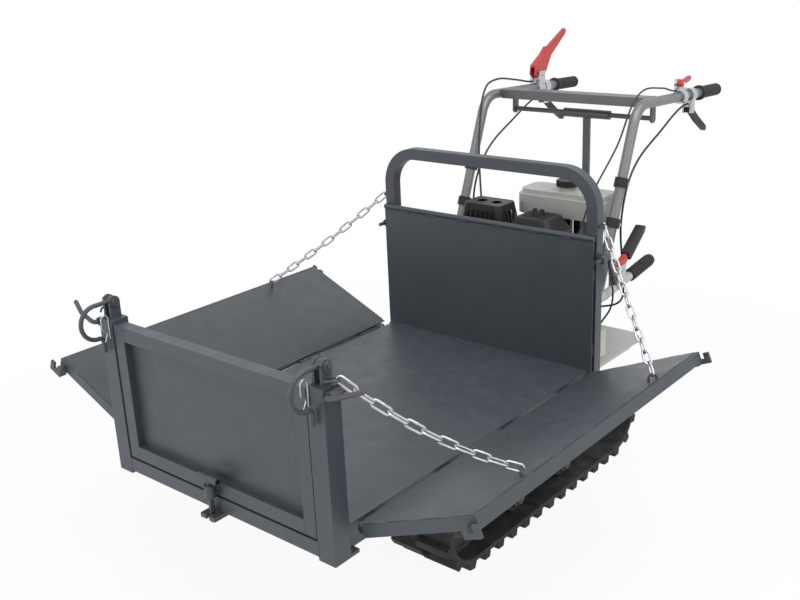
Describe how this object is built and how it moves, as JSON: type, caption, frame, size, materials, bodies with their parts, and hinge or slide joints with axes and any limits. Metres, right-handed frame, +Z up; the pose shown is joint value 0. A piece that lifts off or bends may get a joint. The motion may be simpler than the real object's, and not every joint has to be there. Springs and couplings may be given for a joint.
{
  "type": "tracked power carrier",
  "caption": "Walk-behind carrier on rubber tracks with a tipping bed, hinged front gate, chained fold-out side boards and engine behind the headboard.",
  "frame": {"origin": "middle of the footprint's bounding box, on the ground", "axes": "+Z up, +Y back to the operator, the gate faces -Y"},
  "size_m": [1.3078, 1.9173, 1.1498],
  "materials": {
    "slate_paint": "satin",
    "silver_paint": "satin",
    "grey_steel": "satin",
    "dark_steel": "satin",
    "cast_metal": "cast",
    "track_rubber": "matt",
    "grip_rubber": "matt",
    "black_plastic": "matt",
    "black_metal": "matt",
    "red_paint": "gloss",
    "zinc_plate": "bright zinc",
    "tank_plastic": "gloss"
  },
  "bodies": {
    "chassis": {"main_frame": "silver_paint", "left_beam": "silver_paint", "right_beam": "silver_paint", "left_track": "track_rubber", "right_track": "track_rubber", "gearbox": "cast_metal", "engine_block": "cast_metal", "fuel_tank": "tank_plastic", "air_filter": "black_plastic", "muffler_guard": "black_metal", "belt_guard": "slate_paint", "drive_belt": "track_rubber", "left_handle": "grey_steel", "right_handle": "grey_steel", "cross_plate": "dark_steel", "left_grip": "grip_rubber", "right_grip": "grip_rubber", "control_mounts": "black_plastic", "tube_clamps": "black_plastic", "control_cables": "black_plastic", "tip_shaft": "zinc_plate"},
    "bed": {"bed_floor": "slate_paint", "left_post": "slate_paint", "right_post": "slate_paint", "headboard": "slate_paint", "hoop": "slate_paint", "bed_pins": "zinc_plate", "gate_keeper": "slate_paint", "left_chains": "zinc_plate", "right_chains": "zinc_plate", "tip_handle": "silver_paint", "tip_grip": "grip_rubber", "tip_cable": "black_plastic"},
    "gate": {"gate": "slate_paint"},
    "gate_latch": {"gate_latch": "grey_steel"},
    "left_board": {"left_board": "slate_paint"},
    "left_c_lever": {"left_c_lever": "grey_steel"},
    "lock_front_left": {"lock_front_left": "grey_steel"},
    "lock_rear_left": {"lock_rear_left": "grey_steel"},
    "left_steer_lever": {"left_steer_lever": "black_plastic"},
    "left_sprocket": {"left_sprocket": "grey_steel"},
    "left_idler": {"left_idler": "grey_steel"},
    "left_roller_1": {"left_roller_1": "grey_steel"},
    "left_roller_2": {"left_roller_2": "grey_steel"},
    "right_board": {"right_board": "slate_paint"},
    "right_c_lever": {"right_c_lever": "grey_steel"},
    "lock_front_right": {"lock_front_right": "grey_steel"},
    "lock_rear_right": {"lock_rear_right": "grey_steel"},
    "right_steer_lever": {"right_steer_lever": "black_plastic"},
    "right_sprocket": {"right_sprocket": "grey_steel"},
    "right_idler": {"right_idler": "grey_steel"},
    "right_roller_1": {"right_roller_1": "grey_steel"},
    "right_roller_2": {"right_roller_2": "grey_steel"},
    "clutch_lever": {"clutch_lever": "red_paint"},
    "throttle_lever": {"throttle_lever": "red_paint"},
    "gear_lever": {"gear_lever": "dark_steel"},
    "tip_lever": {"tip_lever": "red_paint"},
    "gearbox_pulley": {"gearbox_pulley": "zinc_plate"},
    "engine_pulley": {"engine_pulley": "zinc_plate"},
    "fuel_cap": {"fuel_cap": "black_plastic"}
  },
  "joints": [
    {"name": "bed_tip", "type": "hinge", "parent": "chassis", "child": "bed", "pos_m": [0, -0.53365, 0.296], "axis": [1, 0, 0], "range_deg": [0, 50]},
    {"name": "gate_swing", "type": "hinge", "parent": "bed", "child": "gate", "pos_m": [0, -0.87665, 0.658], "axis": [-1, 0, 0], "range_deg": [0, 90]},
    {"name": "latch_turn", "type": "hinge", "parent": "gate", "child": "gate_latch", "pos_m": [0, -0.90765, 0.374], "axis": [0, 0, 1], "range_deg": [0, 90]},
    {"name": "left_board_lift", "type": "hinge", "parent": "bed", "child": "left_board", "pos_m": [-0.346, -0.39365, 0.364], "axis": [0, 1, 0], "range_deg": [0, 66], "deforming": ["left_chains"]},
    {"name": "left_c_swing", "type": "hinge", "parent": "bed", "child": "left_c_lever", "pos_m": [-0.318, -0.87165, 0.72], "axis": [-1, 0, 0], "range_deg": [0, 100]},
    {"name": "lock_front_left_turn", "type": "hinge", "parent": "bed", "child": "lock_front_left", "pos_m": [-0.35, -0.87365, 0.67], "axis": [0, -1, 0], "range_deg": [0, 95]},
    {"name": "lock_rear_left_turn", "type": "hinge", "parent": "bed", "child": "lock_rear_left", "pos_m": [-0.35, 0.09635, 0.67], "axis": [0, 1, 0], "range_deg": [0, 100]},
    {"name": "left_steer_pull", "type": "hinge", "parent": "chassis", "child": "left_steer_lever", "pos_m": [-0.248, 0.77031, 0.93655], "axis": [1, 0, 0], "range_deg": [0, 22]},
    {"name": "left_sprocket_spin", "type": "hinge", "parent": "chassis", "child": "left_sprocket", "pos_m": [-0.188, 0.33135, 0.118], "axis": [1, 0, 0], "continuous": true},
    {"name": "left_idler_spin", "type": "hinge", "parent": "chassis", "child": "left_idler", "pos_m": [-0.188, -0.35765, 0.118], "axis": [1, 0, 0], "continuous": true},
    {"name": "left_roller_1_spin", "type": "hinge", "parent": "chassis", "child": "left_roller_1", "pos_m": [-0.188, -0.12799, 0.0683], "axis": [1, 0, 0], "continuous": true},
    {"name": "left_roller_2_spin", "type": "hinge", "parent": "chassis", "child": "left_roller_2", "pos_m": [-0.188, 0.10168, 0.0683], "axis": [1, 0, 0], "continuous": true},
    {"name": "right_board_lift", "type": "hinge", "parent": "bed", "child": "right_board", "pos_m": [0.346, -0.39365, 0.364], "axis": [0, -1, 0], "range_deg": [0, 66], "deforming": ["right_chains"]},
    {"name": "right_c_swing", "type": "hinge", "parent": "bed", "child": "right_c_lever", "pos_m": [0.318, -0.87165, 0.72], "axis": [-1, 0, 0], "range_deg": [0, 100]},
    {"name": "lock_front_right_turn", "type": "hinge", "parent": "bed", "child": "lock_front_right", "pos_m": [0.35, -0.87365, 0.67], "axis": [0, 1, 0], "range_deg": [0, 95]},
    {"name": "lock_rear_right_turn", "type": "hinge", "parent": "bed", "child": "lock_rear_right", "pos_m": [0.35, 0.09635, 0.67], "axis": [0, -1, 0], "range_deg": [0, 100]},
    {"name": "right_steer_pull", "type": "hinge", "parent": "chassis", "child": "right_steer_lever", "pos_m": [0.248, 0.77031, 0.93655], "axis": [1, 0, 0], "range_deg": [0, 22]},
    {"name": "right_sprocket_spin", "type": "hinge", "parent": "chassis", "child": "right_sprocket", "pos_m": [0.188, 0.33135, 0.118], "axis": [1, 0, 0], "continuous": true},
    {"name": "right_idler_spin", "type": "hinge", "parent": "chassis", "child": "right_idler", "pos_m": [0.188, -0.35765, 0.118], "axis": [1, 0, 0], "continuous": true},
    {"name": "right_roller_1_spin", "type": "hinge", "parent": "chassis", "child": "right_roller_1", "pos_m": [0.188, -0.12799, 0.0683], "axis": [1, 0, 0], "continuous": true},
    {"name": "right_roller_2_spin", "type": "hinge", "parent": "chassis", "child": "right_roller_2", "pos_m": [0.188, 0.10168, 0.0683], "axis": [1, 0, 0], "continuous": true},
    {"name": "clutch_pull", "type": "hinge", "parent": "chassis", "child": "clutch_lever", "pos_m": [-0.248, 0.73677, 1.02003], "axis": [-1, 0, 0], "range_deg": [0, 40]},
    {"name": "throttle_turn", "type": "hinge", "parent": "chassis", "child": "throttle_lever", "pos_m": [0.248, 0.71371, 1.019], "axis": [1, 0, 0], "range_deg": [0, 60]},
    {"name": "gear_shift", "type": "hinge", "parent": "chassis", "child": "gear_lever", "pos_m": [0, 0.58135, 0.93651], "axis": [1, 0, 0], "range_deg": [-6, 6]},
    {"name": "tip_release", "type": "hinge", "parent": "bed", "child": "tip_lever", "pos_m": [0.313, 0.24235, 0.598], "axis": [-1, 0, 0], "range_deg": [0, 25]},
    {"name": "gearbox_pulley_spin", "type": "hinge", "parent": "chassis", "child": "gearbox_pulley", "pos_m": [-0.152, 0.30635, 0.308], "axis": [1, 0, 0], "continuous": true},
    {"name": "engine_pulley_spin", "type": "hinge", "parent": "chassis", "child": "engine_pulley", "pos_m": [-0.152, 0.30635, 0.482], "axis": [1, 0, 0], "continuous": true},
    {"name": "fuel_cap_turn", "type": "hinge", "parent": "chassis", "child": "fuel_cap", "pos_m": [0.08, 0.37635, 0.768], "axis": [0, 0, 1], "range_deg": [0, 120]}
  ],
  "couplings": [
    {"joint": "engine_pulley_spin", "follows": "gearbox_pulley_spin", "ratio": 1.3684},
    {"joint": "left_idler_spin", "follows": "left_sprocket_spin", "ratio": 1},
    {"joint": "left_roller_1_spin", "follows": "left_sprocket_spin", "ratio": 2.3158},
    {"joint": "left_roller_2_spin", "follows": "left_sprocket_spin", "ratio": 2.3158},
    {"joint": "right_idler_spin", "follows": "right_sprocket_spin", "ratio": 1},
    {"joint": "right_roller_1_spin", "follows": "right_sprocket_spin", "ratio": 2.3158},
    {"joint": "right_roller_2_spin", "follows": "right_sprocket_spin", "ratio": 2.3158}
  ]
}
